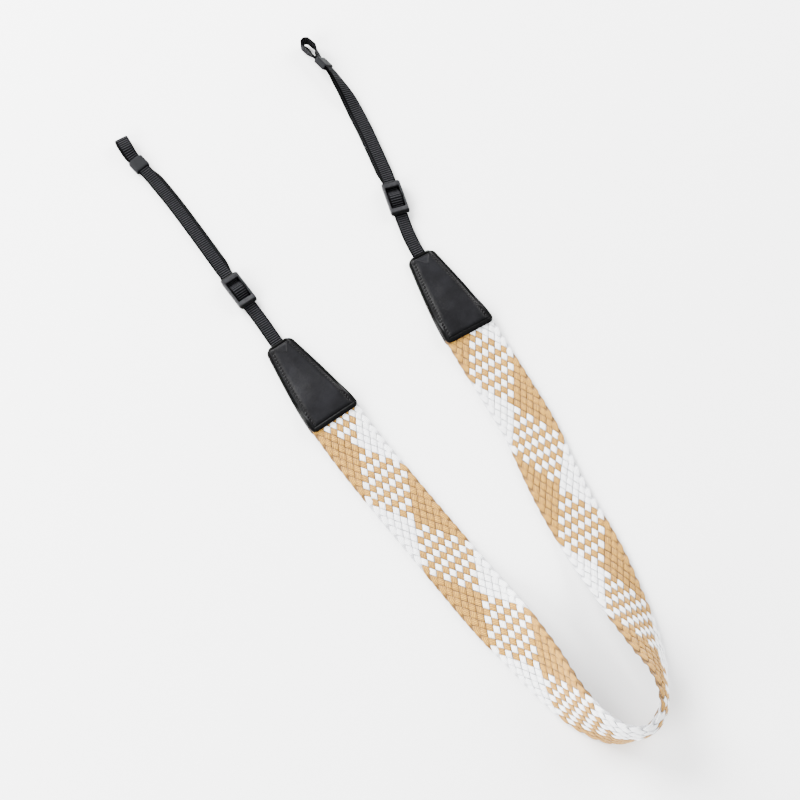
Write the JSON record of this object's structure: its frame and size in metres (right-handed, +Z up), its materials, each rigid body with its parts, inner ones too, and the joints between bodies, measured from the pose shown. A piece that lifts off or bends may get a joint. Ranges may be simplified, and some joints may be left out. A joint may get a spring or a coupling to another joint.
{
  "type": "camera strap",
  "caption": "Flat braided neck strap that narrows through leather tabs to adjustable webbing with end loops for a camera's lugs.",
  "frame": {"origin": "middle of the strap's foot print, on the surface it lies on", "axes": "+Y from the band's turn towards the two end loops, +Z up from the surface, +X to the right arm"},
  "size_m": [0.1752, 0.5828, 0.0382],
  "materials": {
    "woven_cotton": "flat braid of beige and white strands",
    "black_leather": "smooth black leather with a soft sheen",
    "black_nylon": "cross-ribbed black nylon webbing",
    "grey_plastic": "matte dark grey moulded plastic",
    "grey_rubber": "matte dark grey soft plastic"
  },
  "bodies": {
    "root": {"woven_band": "woven_cotton", "tab_left_front": "black_leather", "tab_left_back": "black_leather", "tab_right_front": "black_leather", "tab_right_back": "black_leather", "webbing_left": "black_nylon", "webbing_right": "black_nylon", "slider_left": "grey_plastic", "slider_right": "grey_plastic", "keeper_left": "grey_rubber", "keeper_right": "grey_rubber"}
  },
  "joints": []
}
